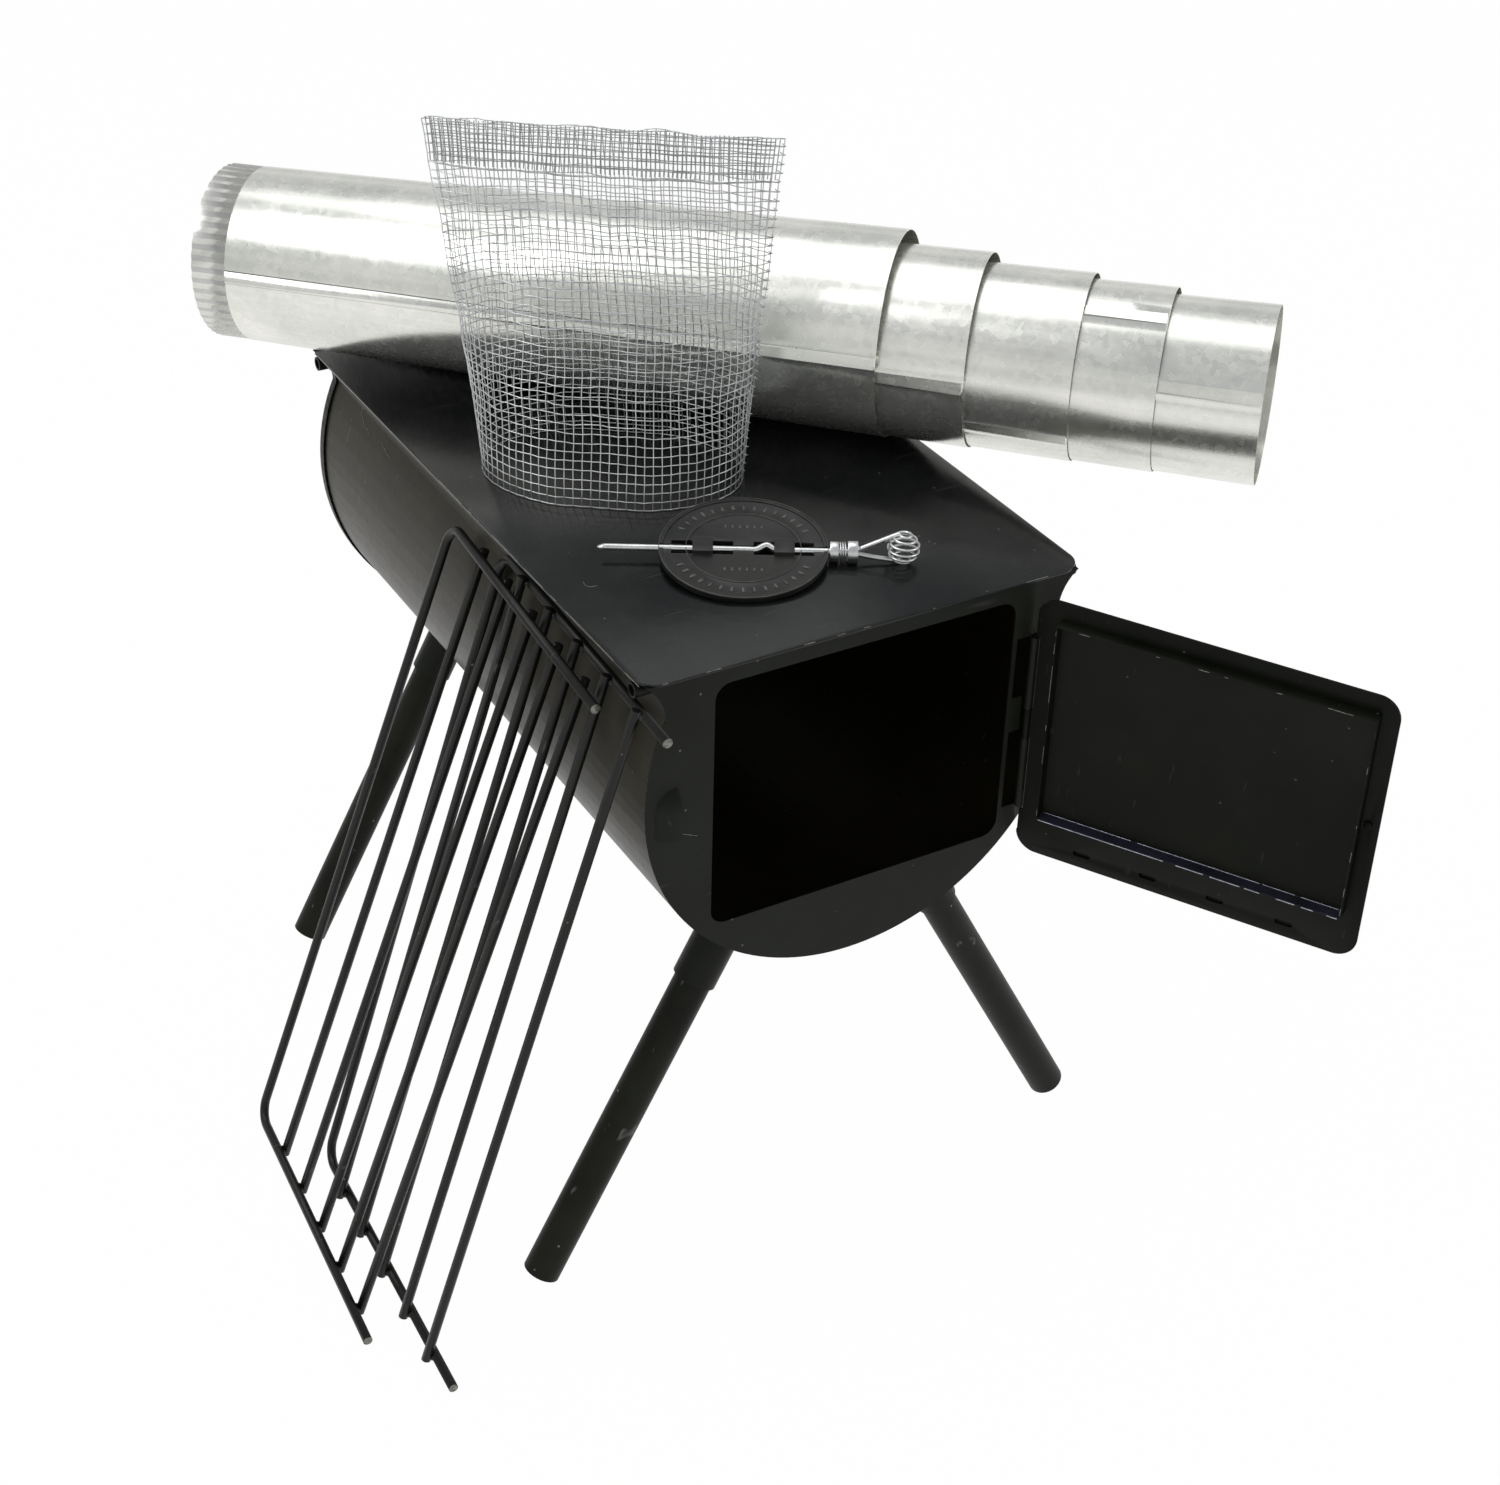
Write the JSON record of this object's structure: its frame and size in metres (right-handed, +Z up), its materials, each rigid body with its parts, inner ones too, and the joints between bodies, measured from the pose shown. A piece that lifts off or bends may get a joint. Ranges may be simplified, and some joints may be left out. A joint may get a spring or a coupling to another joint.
{
  "type": "tent wood stove",
  "caption": "Sheet-steel tent stove on splayed tube legs with an open hinged door, two wire side racks, and nested pipes, a mesh spark arrestor and a damper lying on its flat top.",
  "frame": {"origin": "middle of the flue hole at the level of the flat top", "axes": "+Z up and out of the flue hole, the door in the front plate faces -Y, the door's hinge is on the +X side"},
  "size_m": [0.7715, 0.8828, 0.7842],
  "materials": {
    "body_steel": "satin blackened sheet steel",
    "top_steel": "smooth satin blackened steel plate",
    "door_steel": "satin blackened sheet steel",
    "liner_steel": "heat-blued sheet steel",
    "leg_steel": "satin blackened steel tube",
    "rack_steel": "satin black steel rod",
    "plain_steel": "bare turned steel",
    "pipe_zinc": "galvanised sheet with faint spangle",
    "mesh_zinc": "galvanised wire mesh",
    "cast_plate": "dark as-cast iron",
    "zinc_wire": "bright zinc-plated wire and rod"
  },
  "bodies": {
    "stove": {"barrel": "body_steel", "front_plate": "body_steel", "rear_cap": "body_steel", "top_plate": "top_steel", "flue_collar": "body_steel", "leg_sockets": "body_steel", "rack_sockets": "body_steel", "hinge_pin": "plain_steel", "latch_keeper": "body_steel"},
    "door": {"door_panel": "door_steel", "door_liner": "liner_steel", "slider_guides": "door_steel", "latch_bolt": "plain_steel"},
    "slider": {"draft_slider": "door_steel", "slider_knob": "plain_steel"},
    "latch": {"latch_handle": "door_steel"},
    "leg_fl": {"leg_front_left": "leg_steel"},
    "leg_fr": {"leg_front_right": "leg_steel"},
    "leg_rl": {"leg_rear_left": "leg_steel"},
    "leg_rr": {"leg_rear_right": "leg_steel"},
    "rack_inner": {"rack_b_frame": "rack_steel", "rack_b_rods": "rack_steel"},
    "rack_outer": {"rack_a_frame": "rack_steel", "rack_a_rods": "rack_steel"},
    "pipe_outer": {"pipe_1": "pipe_zinc"},
    "pipe_second": {"pipe_2": "pipe_zinc"},
    "pipe_third": {"pipe_3": "pipe_zinc"},
    "pipe_fourth": {"pipe_4": "pipe_zinc"},
    "pipe_inner": {"pipe_5": "pipe_zinc"},
    "arrestor": {"spark_arrestor": "mesh_zinc"},
    "damper": {"damper_plate": "cast_plate", "damper_rod": "zinc_wire", "damper_nuts": "zinc_wire", "damper_spring": "zinc_wire", "damper_ball": "zinc_wire"}
  },
  "joints": [
    {"name": "door_hinge", "type": "hinge", "parent": "stove", "child": "door", "pos_m": [0.134, -0.4422, -0.1165], "axis": [0, 0, 1], "range_deg": [-120.9, 50]},
    {"name": "draft_slide", "type": "slide", "parent": "door", "child": "slider", "axis": [0.5135, -0.8581, 0], "range_m": [0, 0.02]},
    {"name": "latch_turn", "type": "hinge", "parent": "door", "child": "latch", "pos_m": [0.2612, -0.65474, -0.112], "axis": [-0.8581, -0.5135, 0], "range_deg": [0, 90]},
    {"name": "leg_fl_pull", "type": "slide", "parent": "stove", "child": "leg_fl", "axis": [-0.4772, 0, -0.8788], "range_m": [0, 0.055]},
    {"name": "leg_fr_pull", "type": "slide", "parent": "stove", "child": "leg_fr", "axis": [0.4772, 0, -0.8788], "range_m": [0, 0.055]},
    {"name": "leg_rl_pull", "type": "slide", "parent": "stove", "child": "leg_rl", "axis": [-0.4772, 0, -0.8788], "range_m": [0, 0.055]},
    {"name": "leg_rr_pull", "type": "slide", "parent": "stove", "child": "leg_rr", "axis": [0.4772, 0, -0.8788], "range_m": [0, 0.055]},
    {"name": "rack_inner_lift", "type": "slide", "parent": "stove", "child": "rack_inner", "axis": [-0.8, 0, 0.6], "range_m": [0, 0.12]},
    {"name": "rack_outer_lift", "type": "slide", "parent": "rack_inner", "child": "rack_outer", "axis": [-0.8, 0, 0.6], "range_m": [0, 0.12]},
    {"name": "pipe_outer_lift", "type": "slide", "parent": "stove", "child": "pipe_outer", "axis": [0, 0, 1], "range_m": [0, 0.27]},
    {"name": "pipe_second_draw", "type": "slide", "parent": "pipe_outer", "child": "pipe_second", "axis": [0.7009, -0.7133, 0], "range_m": [0, 0.48]},
    {"name": "pipe_third_draw", "type": "slide", "parent": "pipe_second", "child": "pipe_third", "axis": [0.7009, -0.7133, 0], "range_m": [0, 0.45]},
    {"name": "pipe_fourth_draw", "type": "slide", "parent": "pipe_third", "child": "pipe_fourth", "axis": [0.7009, -0.7133, 0], "range_m": [0, 0.45]},
    {"name": "pipe_inner_draw", "type": "slide", "parent": "pipe_fourth", "child": "pipe_inner", "axis": [0.7009, -0.7133, 0], "range_m": [0, 0.45]},
    {"name": "arrestor_lift", "type": "slide", "parent": "stove", "child": "arrestor", "axis": [-0.2459, -0.2489, 0.9368], "range_m": [0, 0.28]},
    {"name": "damper_lift", "type": "slide", "parent": "stove", "child": "damper", "axis": [0, 0, 1], "range_m": [0, 0.08]}
  ]
}
